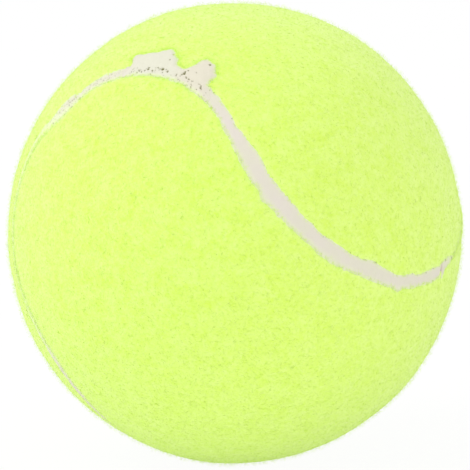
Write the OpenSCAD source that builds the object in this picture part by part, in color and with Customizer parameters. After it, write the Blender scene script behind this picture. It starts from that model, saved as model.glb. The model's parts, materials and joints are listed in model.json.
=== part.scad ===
// Tennis ball: a hollow rubber core in two cemented halves, two dumbbell felt panels,
// and the rubber strip that fills the seam between them. Millimetres, +Z up, origin at
// the centre of the ball. The ball lies as it is seen in the picture, from the -Y side.

/* [Ball] */
// Diameter over the felt's nap
ball_d = 66.7; // [65.4:0.1:68.6]
// Turn of the ball about X, then Y, then Z, in degrees
ball_attitude = [44, 49, -133]; // [-180:1:180]

/* [Core] */
// Wall of the rubber core
core_wall = 3.3; // [2.8:0.1:4]
// Chamfer on the outer and inner edge of each half's rim
rim_chamfer = 0.6; // [0.3:0.1:1]
// Thickness of the cement film between the two rims
rim_cement_t = 0.2; // [0.1:0.05:0.4]
// Radius of the bead of cement squeezed out inside the joint
rim_bead_r = 0.9; // [0.5:0.1:1.4]
// Thickness of the rubber cement coat all over the core
core_coat_t = 0.15; // [0.1:0.05:0.3]

/* [Felt] */
// Thickness of the felt cloth, from its back to the top of the nap
felt_t = 2.9; // [2.4:0.1:3.4]
// Thickness of the rubbered backing on the inside of the felt
backing_t = 0.35; // [0.2:0.05:0.6]
// How far the rounded edge of the felt draws back from the seam
shoulder_w = 0.5; // [0.2:0.05:0.8]

/* [Seam] */
// Width of the seam rubber between the two panels, where its share is 1
seam_w = 2; // [1.4:0.1:2.6]
// How far the seam rubber lies below the top of the nap
seam_recess = 0.6; // [0.4:0.1:1]

/* [Spill] */
// Length of the patch of seam rubber that has spread over the felt
spill_l = 13; // [9:0.1:15]
// Width of that patch, out from the seam
spill_w = 6.2; // [3.5:0.1:7.5]
// How far the patch stands above the nap
spill_t = 0.3; // [0.2:0.05:0.5]

/* [Hidden] */

// Radii, from the outside in
nap_r = ball_d / 2;
felt_back_r = nap_r - felt_t;
coat_r = felt_back_r - backing_t;
core_r = coat_r - core_coat_t;
bore_r = core_r - core_wall;
seam_r = nap_r - seam_recess;

// The seam passes through these places on the ball, each with the way that it heads there.
// Panel a holds the pole at latitude 90, and panel b the pole at latitude -90.
seam_azimuths = [349, 52, 97, 86, 79, 123, 182, 225, 260, 297];
seam_latitudes = [5, 70, 20, 4, -36, -61, 0, 60, -3, -68];
seam_headings = [49, 0, -122, -124, -79, 2, 112, 0, -107, -22];
seam_width_shares = [0.75, 1, 0.7, 1.1, 1, 0.75, 0.9, 0.9, 0.9, 0.9];
// Length of the straight facets along the edge of a panel, as a share of the nap's radius
facet_share = 0.045;

// Each panel's spine: an arc over the pole from the middle of one end to the middle of the other
spine_azimuths = [137, 48];
spine_half_angle = 108;
spine_steps = 8;
// Radius of the spine that closes a panel's cutting form, outside the ball
spine_r_share = 2.2;

// Where the patch starts beside the seam, the way the seam runs there, and the patch's outline
// along and out from the seam
spill_azimuth = 100;
spill_latitude = 44;
spill_turn = -5;
spill_outline_shares = [
    [-0.1, -0.03], [-0.09, 0.3], [-0.13, 0.5], [-0.11, 0.64], [0, 0.71], [0.14, 0.76], [0.2, 0.86],
    [0.26, 0.99], [0.31, 0.95], [0.41, 0.73], [0.48, 0.56], [0.54, 0.52], [0.61, 0.59], [0.67, 0.82],
    [0.72, 0.91], [0.8, 0.88], [0.88, 0.79], [0.93, 0.6], [0.94, 0.4], [0.93, 0.22], [0.98, 0.06],
    [1.02, -0.05], [0.94, -0.08], [0.85, -0.05], [0.77, 0], [0.67, 0.05], [0.46, 0.06], [0.23, 0.05],
    [0, -0.03],
];
// Where the filled stretch of the groove starts and ends along the patch
spill_fill_shares = [-0.05, 0.95];

// The edge of the felt rounds off through these parts of a quarter turn
shoulder_angles = [0, 30, 60, 90];

// Every cut runs past the surface that it cuts by this much
overrun = 1;
round_fn = 96;

function unit(v) = v / norm(v);
function place(azimuth, latitude) =
    [cos(latitude) * cos(azimuth), cos(latitude) * sin(azimuth), sin(latitude)];
function heading(azimuth, latitude, angle) =
    cos(angle) * [-sin(azimuth), cos(azimuth), 0]
    + sin(angle) * [-sin(latitude) * cos(azimuth), -sin(latitude) * sin(azimuth), cos(latitude)];

// Points on the unit sphere along the circle that leaves p towards t and ends just before q,
// each with a width share that runs from w0 to w1
function arc_points(p, t, q, w0, w1) =
    let (
        axis = unit(cross(t, q - p)),
        centre = axis * (axis * p),
        radius = norm(p - centre),
        across = unit(p - centre),
        turn = atan2((q - centre) * t, (q - centre) * across),
        angle = turn > 0 ? turn : turn + 360,
        steps = max(1, round(angle * PI / 180 * radius / facet_share))
    )
    [for (i = [0:steps - 1]) let (f = i / steps)
        [centre + radius * (cos(angle * f) * across + sin(angle * f) * t), w0 + (w1 - w0) * f]];

// Two circular arcs that leave p0 towards t0 and reach p1 heading towards t1
function span_points(p0, t0, w0, p1, t1, w1) =
    let (
        chord = p1 - p0,
        along = chord * (t0 + t1),
        bend = 1 - t0 * t1,
        reach = (sqrt(along * along + 2 * bend * (chord * chord)) - along) / (2 * bend),
        corner0 = p0 + reach * t0,
        corner1 = p1 - reach * t1,
        joint = (corner0 + corner1) / 2,
        joint_w = (w0 + w1) / 2
    )
    concat(
        arc_points(p0, t0, joint, w0, joint_w),
        arc_points(joint, unit(corner1 - corner0), p1, joint_w, w1)
    );

stations = [for (i = [0:len(seam_azimuths) - 1])
    [place(seam_azimuths[i], seam_latitudes[i]),
     heading(seam_azimuths[i], seam_latitudes[i], seam_headings[i]),
     seam_width_shares[i]]];
seam_path = [for (i = [0:len(stations) - 1])
    let (from = stations[i], to = stations[(i + 1) % len(stations)])
    each span_points(from[0], from[1], from[2], to[0], to[1], to[2])];
seam_n = len(seam_path);

// Direction to the left of the seam at a point of its path, seen from outside
function seam_left(i) =
    unit(cross(seam_path[i][0],
               seam_path[(i + 1) % seam_n][0] - seam_path[(i + seam_n - 1) % seam_n][0]));

// The seam's path at radius r, moved sideways by the seam's half width there and by draw_back.
// side is 1 for the edge of panel a and -1 for the edge of panel b.
function seam_edge(side, r, draw_back) = [for (i = [0:seam_n - 1])
    let (offset = seam_w / 2 * seam_path[i][1] + draw_back)
    r * unit(nap_r * seam_path[i][0] + side * offset * seam_left(i))];

// Which point of the spine the cap over a panel's edge joins
function spine_index(side, point) =
    let (
        azimuth = side > 0 ? spine_azimuths[0] : spine_azimuths[1],
        angle = atan2(point * place(azimuth, 0), side * point[2]),
        bounded = max(-spine_half_angle, min(spine_half_angle, angle))
    )
    round((bounded / spine_half_angle + 1) / 2 * spine_steps);
function spine_point(side, k) =
    let (
        azimuth = side > 0 ? spine_azimuths[0] : spine_azimuths[1],
        angle = spine_half_angle * (2 * k / spine_steps - 1)
    )
    nap_r * spine_r_share * (sin(angle) * place(azimuth, 0) + side * cos(angle) * [0, 0, 1]);

// Solid that holds everything on one side of the seam. Rings run up through the felt, and each
// is a radius and how far it draws back from the seam. Its apex is the ball's centre.
module panel_region(side, rings) {
    n = seam_n;
    m = len(rings);
    spine = [for (k = [0:spine_steps]) spine_point(side, k)];
    joins = [for (i = [0:n - 1]) spine_index(side, seam_path[i][0])];
    points = concat([for (ring = rings) each seam_edge(side, ring[0], ring[1])], spine, [[0, 0, 0]]);
    spine_at = m * n;
    apex = spine_at + len(spine);
    top = (m - 1) * n;
    faces = concat(
        [for (i = [0:n - 1]) [apex, (i + 1) % n, i]],
        [for (j = [0:m - 2], i = [0:n - 1])
            each [[j * n + i, j * n + (i + 1) % n, (j + 1) * n + i],
                  [j * n + (i + 1) % n, (j + 1) * n + (i + 1) % n, (j + 1) * n + i]]],
        [for (i = [0:n - 1]) [top + i, top + (i + 1) % n, spine_at + joins[i]]],
        [for (i = [0:n - 1]) if (joins[i] != joins[(i + 1) % n])
            [top + (i + 1) % n, spine_at + joins[(i + 1) % n], spine_at + joins[i]]]
    );
    polyhedron(points = points, faces = side > 0 ? [for (f = faces) [f[2], f[1], f[0]]] : faces);
}

module in_attitude() {
    rotate(ball_attitude) children();
}

module shell(inner_r, outer_r) {
    difference() {
        sphere(r = outer_r, $fn = round_fn);
        sphere(r = inner_r, $fn = round_fn);
    }
}

// Everything on one side of the seam, cut square to the ball's surface
module straight_side(side) {
    panel_region(side, [[nap_r + overrun, 0]]);
}

// The same, rounded off from the top of the seam rubber up to the top of the nap. The last facet
// of the rounding runs on past the nap.
module rounded_side(side) {
    rings = [for (angle = shoulder_angles)
        [seam_r + seam_recess * sin(angle), shoulder_w * (1 - cos(angle))]];
    last = len(rings) - 1;
    slope = (rings[last][1] - rings[last - 1][1]) / (rings[last][0] - rings[last - 1][0]);
    panel_region(side, [
        for (k = [0:last - 1]) rings[k],
        [nap_r + overrun, shoulder_w + slope * overrun],
    ]);
}

// Closed ring that holds everything between the two panels, from r_low to r_high
module seam_band(r_low, r_high) {
    n = seam_n;
    tracks = [seam_edge(1, r_low, 0), seam_edge(1, r_high, 0),
              seam_edge(-1, r_high, 0), seam_edge(-1, r_low, 0)];
    polyhedron(
        points = [for (track = tracks) each track],
        faces = [for (j = [0:3], i = [0:n - 1])
            let (k = (j + 1) % 4, next = (i + 1) % n)
            each [[j * n + i, j * n + next, k * n + i],
                  [j * n + next, k * n + next, k * n + i]]]
    );
}

// Section that holds the upper half of the core, with its rim drawn back from the joint by half
// the film. It runs on past the outside of the core.
module core_half_room() {
    rim = rim_cement_t / 2;
    difference() {
        translate([0, rim]) square([nap_r, nap_r]);
        circle(r = bore_r, $fn = round_fn);
        polygon([[bore_r - overrun, rim - overrun], [bore_r + rim_chamfer + overrun, rim - overrun],
                 [bore_r - overrun, rim + rim_chamfer + overrun]]);
        polygon([[core_r + overrun, rim - overrun], [core_r - rim_chamfer - overrun, rim - overrun],
                 [core_r + overrun, rim + rim_chamfer + overrun]]);
    }
}

module core_half(up) {
    mirror([0, 0, up ? 0 : 1])
        rotate_extrude($fn = round_fn) intersection() {
            circle(r = core_r, $fn = round_fn);
            core_half_room();
        }
}

module core_half_upper() {
    color([0.16, 0.16, 0.17]) in_attitude() core_half(true);
}

module core_half_lower() {
    color([0.2, 0.2, 0.21]) in_attitude() core_half(false);
}

// What the two halves leave free between them: the film between the rims, the wedges at their
// chamfers, and the bead inside
module core_joint_cement() {
    reach = rim_cement_t / 2 + rim_chamfer + overrun;
    color([0.55, 0.5, 0.4]) in_attitude() rotate_extrude($fn = round_fn) difference() {
        intersection() {
            circle(r = core_r, $fn = round_fn);
            union() {
                translate([bore_r, -reach]) square([core_wall + overrun, 2 * reach]);
                translate([bore_r, 0]) circle(r = rim_bead_r, $fn = round_fn);
            }
        }
        core_half_room();
        mirror([0, 1]) core_half_room();
    }
}

module core_cement_coat() {
    color([0.62, 0.56, 0.42]) in_attitude() shell(core_r, coat_r);
}

module panel_backing(side) {
    intersection() {
        shell(coat_r, felt_back_r);
        straight_side(side);
    }
}

module panel_backing_a() {
    color([0.86, 0.84, 0.72]) in_attitude() panel_backing(1);
}

module panel_backing_b() {
    color([0.82, 0.8, 0.68]) in_attitude() panel_backing(-1);
}

module felt_panel(side) {
    intersection() {
        shell(felt_back_r, nap_r);
        rounded_side(side);
    }
}

module felt_panel_a() {
    color([0.78, 0.97, 0.27]) in_attitude() felt_panel(1);
}

module felt_panel_b() {
    color([0.72, 0.93, 0.25]) in_attitude() felt_panel(-1);
}

module seam_rubber() {
    color([0.88, 0.86, 0.8]) in_attitude() intersection() {
        shell(coat_r, seam_r);
        seam_band(coat_r - overrun, nap_r);
    }
}

// X runs along the seam under the patch, Y out over panel a, and Z out of the ball
module in_spill_frame() {
    rotate([0, 90 - spill_latitude, spill_azimuth]) rotate([0, 0, spill_turn]) children();
}

// Patch of seam rubber that fills the groove and has spread over the nap of panel a
module seam_spill() {
    height = nap_r + spill_t + overrun;
    fill_from = spill_l * spill_fill_shares[0];
    fill_l = spill_l * spill_fill_shares[1] - fill_from;
    color([0.93, 0.91, 0.86]) in_attitude() {
        intersection() {
            shell(nap_r, nap_r + spill_t);
            in_spill_frame() linear_extrude(height)
                polygon([for (s = spill_outline_shares) [s[0] * spill_l, s[1] * spill_w]]);
        }
        intersection() {
            shell(seam_r, nap_r + spill_t / 2);
            seam_band(seam_r - overrun, nap_r + overrun);
            in_spill_frame() translate([fill_from, -spill_w, 0]) cube([fill_l, 2 * spill_w, height]);
        }
    }
}

core_half_upper();
core_half_lower();
core_joint_cement();
core_cement_coat();
panel_backing_a();
panel_backing_b();
felt_panel_a();
felt_panel_b();
seam_rubber();
seam_spill();
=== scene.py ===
import json
import math

import bpy
import numpy as np
from bpy.props import FloatProperty, FloatVectorProperty, IntProperty, PointerProperty
from mathutils import Euler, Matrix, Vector, noise
from mathutils.geometry import delaunay_2d_cdt

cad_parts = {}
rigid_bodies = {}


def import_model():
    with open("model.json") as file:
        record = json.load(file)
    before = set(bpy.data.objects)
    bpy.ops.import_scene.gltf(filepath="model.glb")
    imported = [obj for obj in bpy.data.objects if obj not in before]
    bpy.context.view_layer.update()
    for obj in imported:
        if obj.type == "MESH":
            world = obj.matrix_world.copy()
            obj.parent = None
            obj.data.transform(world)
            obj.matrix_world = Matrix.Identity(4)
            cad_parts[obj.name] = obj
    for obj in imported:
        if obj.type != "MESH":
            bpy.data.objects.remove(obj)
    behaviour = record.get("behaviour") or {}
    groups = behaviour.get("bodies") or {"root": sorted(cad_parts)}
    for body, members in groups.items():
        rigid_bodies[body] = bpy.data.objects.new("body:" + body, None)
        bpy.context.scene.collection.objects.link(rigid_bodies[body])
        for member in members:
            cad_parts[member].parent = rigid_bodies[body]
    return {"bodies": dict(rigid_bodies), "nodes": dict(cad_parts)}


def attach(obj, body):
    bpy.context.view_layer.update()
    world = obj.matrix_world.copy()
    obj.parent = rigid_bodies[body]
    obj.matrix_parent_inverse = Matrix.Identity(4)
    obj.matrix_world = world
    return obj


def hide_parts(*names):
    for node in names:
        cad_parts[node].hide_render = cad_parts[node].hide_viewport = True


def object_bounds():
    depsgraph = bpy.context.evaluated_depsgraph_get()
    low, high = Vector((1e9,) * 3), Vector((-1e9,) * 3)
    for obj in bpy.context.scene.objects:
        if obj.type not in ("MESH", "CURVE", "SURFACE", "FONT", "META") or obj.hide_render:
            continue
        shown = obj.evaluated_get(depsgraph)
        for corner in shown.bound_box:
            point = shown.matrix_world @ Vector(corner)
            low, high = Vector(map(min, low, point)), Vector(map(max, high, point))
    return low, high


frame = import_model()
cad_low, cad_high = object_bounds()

# A tennis ball: two napped felt panels, the rubber seam between them, and a patch where the
# seam rubber has spread over the felt. Lengths in the code are millimetres until a mesh is made.

bl_info = {
    "name": "Tennis Ball",
    "version": (1, 0, 0),
    "blender": (4, 5, 0),
    "location": "3D View > Sidebar > Tennis Ball",
    "description": "Dresses the tennis ball's frame with felt, nap, seam rubber and a stage",
    "category": "Object",
}

MM = 0.001
# As it lies, the ball is taller and narrower than a true ball by this share of its radius
TALLNESS = 0.008
BODY = next(iter(frame["bodies"]))
NAP_R = round(max(*cad_high, *(-c for c in cad_low)), 5)
BAKE_MAP = "OFBake"
# Sides of the seam: 1 is panel a's and -1 is panel b's
PANEL_LETTERS = {1: "a", -1: "b"}

# The seam passes through these places on the ball, each with the way that it heads there
SEAM_AZIMUTHS = (349, 52, 97, 86, 79, 123, 182, 225, 260, 297)
SEAM_LATITUDES = (5, 70, 20, 4, -36, -61, 0, 60, -3, -68)
SEAM_HEADINGS = (49, 0, -122, -124, -79, 2, 112, 0, -107, -22)
SEAM_WIDTH_SHARES = (0.75, 1, 0.7, 1.1, 1, 0.75, 0.9, 0.9, 0.9, 0.9)
BALL_ATTITUDE = (44, 49, -133)

# Nibs and steps in the felt's edges: azimuth, latitude, side, push and spread in millimetres.
# A push that is below zero narrows the seam.
EDGE_NIBS = (
    (77, 67, 1, -0.9, 1.2), (94, 60, 1, -0.6, 1.2), (98, 56, 1, -0.25, 1.2), (100, 53, 1, 0.2, 0.8),
    (98, 21, 1, 0.3, 2), (92, 13, 1, -0.33, 1), (82, -3, 1, 0.2, 3.5), (78, -21, 1, -0.2, 3),
    (78, -34, 1, 0.42, 1.6), (82, -43, 1, -0.42, 1.7), (96, -56, 1, 0.28, 3.5),
    (109, -60, 1, 0.4, 2.3), (12, 58, 1, -0.3, 10), (122, -61, 1, -0.5, 3),
    (136, -61, 1, -0.45, 6), (12, 58, -1, -0.3, 10), (122, -61, -1, -0.4, 3),
    (136, -61, -1, -0.5, 6),
    (84, 65, -1, 1.1, 4), (103, 35, -1, 0.25, 3), (95, 18, -1, -0.22, 2.2), (85, 2, -1, 0.25, 0.9),
    (82, -3, -1, 0.5, 0.9), (78, -23, -1, 0.28, 3), (79, -37, -1, -0.18, 3),
    (82, -44, -1, 0.5, 0.6), (92, -54, -1, -0.35, 4), (103, -59, -1, 0.6, 0.7),
    (109, -60, -1, -0.6, 2),
)
# Waves in the felt's edges: height in millimetres, and the least and the greatest count round
# the ball, with a seed for each side
EDGE_RIPPLES = ((0.07, 20, 150), (0.03, 150, 420))
EDGE_SEEDS = {1: 3, -1: 8}
LEAST_HALF_WIDTH = 0.15
# Where the nap has grown over the seam, which fills up to it: azimuth, latitude and spread
SEAM_OVERGROWN = ((8, 50, 13), (52, 70, 6), (138, -60, 7.5))
# Where the rubber is speckled and thin over the felt: azimuth, latitude and spread
SEAM_SPECKLED = (93, 61, 9)
# Creases in the seam rubber: azimuth, latitude, and half length and half width in millimetres
SEAM_CREASES = ((101.5, -58.8, 1.35, 0.24), (95, 20, 0.35, 0.12))
# The way that a crease runs, along the seam and across it
CREASE_ALONG, CREASE_ACROSS = 0.3, 0.95

# The spread patch: where it starts, the way the seam runs there, and its outer edge, along and
# out from the seam in millimetres
SPILL_AZIMUTH = 100
SPILL_LATITUDE = 44
SPILL_TURN = -5
SPILL_EDGE = (
    (-2.4, 1.5), (-1.4, 2.2), (-2.1, 3.4), (-2.3, 4.2), (-1.8, 4.7), (-0.4, 4.9), (1.3, 5.5),
    (2.3, 5.9), (2.7, 6.5), (3.4, 6.5), (4.2, 5.9), (5, 5.1), (5.8, 4), (6.7, 3.3), (7.4, 3.4),
    (7.9, 3.9), (8.2, 5), (8.6, 5.8), (9.2, 6.1), (10.3, 5.8), (11.2, 5.1), (11.9, 4.1),
    (12.1, 3.2), (11.8, 2.3), (12, 1.5), (13.1, 0.8),
)
SPILL_FILL = (-2.5, 13)
# Pores in the patch: along, out, and radius in millimetres
SPILL_PORES = (
    (2.1, 1.8, 0.2), (2, 2.1, 0.14), (2.9, 1.7, 0.16), (4.3, 2.3, 0.28), (3.4, 2.4, 0.12),
    (5.3, 2, 0.16), (0.8, 1.3, 0.13), (1.7, 1.5, 0.13), (4.4, 4.1, 0.13), (4.2, 5.3, 0.14),
    (7.8, 2.4, 0.24), (7.8, 2.7, 0.16), (7.6, 2.1, 0.12), (8.1, 3, 0.14), (8.5, 1.8, 0.12),
    (8.9, 1.7, 0.12), (11.2, 0.9, 0.17), (11.1, 1.2, 0.12), (10.2, 5.1, 0.2), (6.9, 1.7, 0.1),
    (9.4, 3, 0.09), (-1.7, 1.1, 0.1), (-0.5, 1.5, 0.12), (7.5, 1.2, 0.1),
)
# Pinholes along the patch's edge on panel b's side, besides the pores, and how deep they are
SPILL_PINHOLES, PINHOLE_SHARE = 60, 0.75
# Rounds of cutting the corners of the patch's outline, then its spacing in millimetres
SPILL_ROUNDS, SPILL_SPACING = 3, 0.14
# The rectangle that the patch lies in: its middle along the seam, and half its sides
SPILL_MIDDLE, SPILL_REACH = 5.4, (9, 8)
# A dark speck caught in the nap: azimuth, latitude and radius
SPECK = (26, 15, 0.3)

# Lumps in each surface: height and size in millimetres, and seed
FELT_LUMPS = ((0.08, 9, 1), (0.03, 2.2, 2), (0.02, 0.8, 3))
STRIP_LUMPS = ((0.03, 3, 5), (0.03, 0.9, 6))
PATCH_LUMPS = ((0.06, 2.4, 11), (0.03, 0.7, 12))
# Lumps that make the patch's outline ragged, along the seam and out from it
RAGGED_LUMPS = ((0.16, 0.9, 21), (0.16, 0.9, 22))
# Lumps that open gaps along the felt's edge and speckles where the rubber is thin
GAP_LUMPS = ((0.6, 0.35, 31), (0.8, 2.5, 32))
SPECKLE_LUMPS = ((1, 0.24, 33),)

# The felt's surface: rows of points this far from its edge, and points sown over the rest and
# over its back, each with how far they keep from the edge
FELT_ROWS = (0, 0.07, 0.16, 0.28, 0.44, 0.66, 0.95)
FELT_POINTS, FELT_POINTS_CLEAR = 106000, 1.2
BACK_POINTS, BACK_POINTS_CLEAR = 2600, 1.5
# How far the felt's edge lies below the rubber, and how far from that edge the lumps are full
# and the rim's tint ends
EDGE_DROP, LUMPS_START, RIM_WIDTH = 0.05, 0.7, 0.9

# The seam strip: places across it as shares of its half width, the three of them that have a
# foot, how far it reaches under the felt, and how far it rises where the nap has grown over it
STRIP_SHARES = (-1, -0.96, -0.8, -0.55, -0.28, 0, 0.28, 0.55, 0.8, 0.96, 1)
STRIP_FEET = (0, 5, 10)
STRIP_TUCK, GROWN_FILL = 0.16, 0.18
# Gaps in it: the share of the half width where they start, and how open they are on each side
GAP_START, GAP_SHARES = 0.7, (0.7, 0.4)
SPECKLE_SHARE, GAP_DEPTH = 0.55, 0.25

# The patch: steps between its points, and how far they keep from its outline
PATCH_STEP, PATCH_ROW, PATCH_CLEAR = 0.1, 0.087, 0.07
# Its height over the seam at its middle and ends, and over the felt, and its depth at its pores
PATCH_OVER_SEAM, PATCH_OVER_ENDS, PATCH_OVER_FELT, PORE_DEPTH = 0.25, 0.03, 0.22, 0.22
# Lengths over which it tapers at its two ends
PATCH_TAPERS = (2.4, 2)
# Its swell from the outline: width, and how round it is
SWELL_WIDTH, SWELL_POWER = 1.1, 1.8

# Stretches of the maps for baking, from the low corner to the high one
PANEL_TOP_MAP = ((0.004, 0.004), (0.996, 0.6))
PANEL_BACK_MAP = ((0.004, 0.62), (0.996, 0.9))
PANEL_WALL_MAP = ((0.004, 0.93), (0.996, 0.99))
PATCH_TOP_MAP = ((0.01, 0.01), (0.99, 0.48))
PATCH_UNDER_MAP = ((0.01, 0.52), (0.99, 0.99))
PATCH_WALL_MAP = ((0.01, 0.484), (0.99, 0.516))
STRIP_MAP_ROWS = 10

# The nap: pieces to a panel, seed, and jitter of the roots in the felt and along the patch
NAP_PARTS, NAP_SEED = 3, 40
ROOT_JITTER, HEM_JITTER = 0.25, 0.12
# How far roots keep from the felt's edge, and how far those along the patch stand up
ROOT_CLEAR, HEM_LIFT = 0.03, 0.12
# Spread of the lengths and its limits, of the curl, and of the ways over the seam
LENGTH_SPREAD, LENGTH_LIMITS, CURL_SPREAD, LEAN_SPREAD = 0.3, (0.5, 2), 0.6, 0.8
# Share of the middle length, and times as many, of the fibres over the seam on each side
FRINGE_LENGTHS, FRINGE_TIMES = {1: 0.5, -1: 0.8}, {1: 1, -1: 2}
# Heights of the tips: a stray's least, what chance adds to it and how rare the high ones are,
# then least and greatest of the others
STRAY_RISE, STRAY_RARITY, FLAT_RISE, FRINGE_RISE = (0.04, 0.7), 1.9, (-0.05, 0.02), (0, 0.16)
# Heights of the middles: a share of a stray's rise, and the others' own
STRAY_ARCH, FLAT_ARCH, FRINGE_ARCH = (0.4, 0.8), (0, 0.03), 0.07
# What growing over the seam adds to a fibre's length, rise and arch
GROWN_LENGTH, GROWN_RISE, GROWN_ARCH = 0.7, 2, 0.12
# Depth of the roots, how far a fibre may reach over the seam, and limits of its thickness
ROOT_DEPTH, SEAM_REACH, THICKNESS_LIMITS = 0.04, 0.2, (0.8, 1.25)
# Shares of the thickness of strays and of the dark fibres over the seam, and how many over the seam
# are dark: painted shade along panel a's edge
STRAY_THIN, SHADOWED_THICK, SHADOWED_SHARE = 0.7, 2, 0.03
# Tones: the least of the fibres over the seam, and those of the dark fibres of painted shade and of
# the speck
FRINGE_TONE, SHADOWED_TONE, SPECK_TONE = 0.3, -0.8, -1
# Painted highlight, for the light that the fuzz catches: how pale the tips are: strays, others, and
# half of what panel b's fringe adds
STRAY_HIGHLIGHT, FLAT_HIGHLIGHT, FRINGE_HIGHLIGHT = 1, 0.15, 0.25
# How far along its length a fibre's painted highlight reaches, at its root, the three points of its
# middle and tip
TIP_PROFILE = (0, 0.6, 0.6, 0.6, 1)
# Angles of the three points round a fibre's middle, and its points with its root and tip
SPINDLE_ANGLES, SPINDLE_POINTS = (90, 210, 330), 5

# Colours inside the finishes
FELT_RIM = (0.82, 1, 0.4)
FELT_SHEEN = (0.96, 1, 0.86, 1)
# Brown of the speck, and painted shade on the dark fibres along panel a's edge
SPECK_AND_SHADE_BROWN = (0.2, 0.2, 0.05)
PATCH_PALE, PATCH_WARM = (0.735, 0.735, 0.6), (0.74, 0.7, 0.57)
RUBBER_EDGE, RUBBER_UNDER_NAP = (0.78, 0.86, 0.52), (0.82, 0.97, 0.4)
RUBBER_GRAIN, RUBBER_SPECKLE = (0.62, 0.56, 0.44), (0.42, 0.46, 0.2)
RUBBER_FOLD_SHADE = (0.42, 0.31, 0.22)
CORE_DARK, CORE_BLOOM = (0.025, 0.025, 0.028), (0.055, 0.055, 0.058)
CEMENT_THICK, CEMENT_THIN = (0.29, 0.23, 0.13), (0.43, 0.37, 0.25)
WEAVE_LOW, WEAVE_HIGH, WEAVE_WORN = (0.58, 0.54, 0.38), (0.76, 0.72, 0.54), (0.5, 0.46, 0.32)
WEAVE_PITCH = 0.7 * MM

# The stage: half the floor's side in metres, how white the camera sees it, and its own colour
FLOOR_HALF, FLOOR_WHITE, PAPER = 3, 0.92, (0.98, 0.98, 0.98, 1)
WHITE = (1, 1, 1, 1)
SENSOR_WIDTH, CAMERA_CLIP = 36, (0.01, 20)
KEY_PLACE, FILL_PLACE, LAMP_SIZE = (-0.72, -0.05, 0.72), (0.45, -0.9, 0.12), 0.7


def length_setting(name, description, default):
    return FloatProperty(name=name, description=description, default=default, precision=5,
                         unit="LENGTH")


def colour_setting(name, description, default):
    return FloatVectorProperty(name=name, description=description, default=default,
                               subtype="COLOR", min=0, max=1)


def lamp_setting(name, description, default):
    return FloatProperty(name=name, description=description, default=default, min=0, unit="POWER")


class BallSizes(bpy.types.PropertyGroup):
    """Sizes of the ball's own layers."""

    felt_back_radius: length_setting(
        "Felt back radius", "Radius of the back of the felt", NAP_R - 2.9 * MM)
    felt_radius: length_setting(
        "Felt radius", "Radius of the felt under its loose nap", NAP_R - 0.78 * MM)
    seam_radius: length_setting(
        "Seam radius", "Radius of the top of the seam rubber", NAP_R - 0.9 * MM)
    foot_radius: length_setting(
        "Seam foot radius", "Radius of the foot of the seam rubber", NAP_R - 2.9 * MM)
    seam_width: length_setting(
        "Seam width", "Width of the seam rubber where its share is 1", 2.15 * MM)
    shoulder: length_setting(
        "Shoulder", "Width of the rounding along the felt's edge", 0.9 * MM)


class NapLook(bpy.types.PropertyGroup):
    """The loose fibres of the felt."""

    fibres: IntProperty(
        name="Fibres", description="Fibres sown over the whole ball", default=185000, min=1000)
    length: length_setting("Length", "Middle length of a fibre", 0.7 * MM)
    thickness: length_setting("Thickness", "Thickness of a fibre at its middle", 0.03 * MM)
    strays: FloatProperty(
        name="Strays", description="Share of the fibres that stand up from the felt",
        default=0.4, min=0, max=1, subtype="FACTOR")
    fringe: IntProperty(
        name="Fringe", description="Fibres over the seam at each step along a panel's edge",
        default=3, min=0)
    hem: IntProperty(
        name="Hem", description="Fibres over the patch at each step along its outline",
        default=5, min=0)


class FinishColours(bpy.types.PropertyGroup):
    """Colours of the ball's finishes."""

    # In the felt cloth the deep colour sits in the hollows of its bump and the pale one on its high
    # places, painted shade and light besides the felt's own mottle; in the loose fibres they are
    # each fibre's own tone
    felt_deep: colour_setting(
        "Felt, deep", "Felt colour between the fibres", (0.665, 0.91, 0.1))
    felt_pale: colour_setting(
        "Felt, pale", "Felt colour on the tips of the fibres", (0.745, 0.95, 0.235))
    # Painted highlight: the pale colour of the standing fibres' tips stands in for the light that
    # they catch
    felt_tip_highlight: colour_setting(
        "Felt, tips", "Colour of the fibres that stand up from the felt", (0.84, 0.975, 0.4))
    # Painted shade: a few fibres, picked by their low tone, are painted deep for the shade down in
    # the nap
    felt_painted_shade: colour_setting(
        "Felt, shaded", "Colour of the few fibres that lie deep in the nap", (0.4, 0.56, 0.05))
    rubber_cream: colour_setting(
        "Seam rubber, cream", "Seam rubber where it is yellowest", (0.73, 0.71, 0.57))
    rubber_pink: colour_setting(
        "Seam rubber, pink", "Seam rubber where it is pinkest", (0.745, 0.69, 0.62))
    # Painted shade: the dark colour at the bottom of the pores, pinholes, gaps and speckles in the
    # rubber
    pit_shade: colour_setting(
        "Pores", "Bottom of the pores in the seam rubber", (0.16, 0.16, 0.03))


class StageLook(bpy.types.PropertyGroup):
    """Camera, floor and light."""

    camera_distance: length_setting(
        "Camera distance", "From the camera to the place it looks at", NAP_R * 12)
    camera_height: FloatProperty(
        name="Camera height", description="Angle of the camera above the horizon",
        default=math.radians(10), subtype="ANGLE")
    camera_drop: length_setting(
        "Camera drop", "How far below the ball's middle the camera looks", 0.29 * MM)
    focal_length: FloatProperty(
        name="Focal length", description="Focal length on a 36 mm wide sensor, in mm",
        default=213.9, unit="CAMERA")
    sky: FloatProperty(
        name="Sky", description="Strength of the light from all round", default=0.93, min=0)
    key: lamp_setting("Key lamp", "Power of the softbox at the upper left", 2.9)
    fill: lamp_setting("Fill lamp", "Power of the low softbox in front", 0.93)
    table_glow: FloatProperty(
        name="Table glow", description="Share of a light table's white right under the ball",
        default=0.5, min=0, max=1, subtype="FACTOR")
    table_glow_reach: length_setting(
        "Table glow reach", "How far that glow reaches round the ball's foot", 40 * MM)


def unit(v):
    return v / np.linalg.norm(v, axis=-1, keepdims=True)


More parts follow.
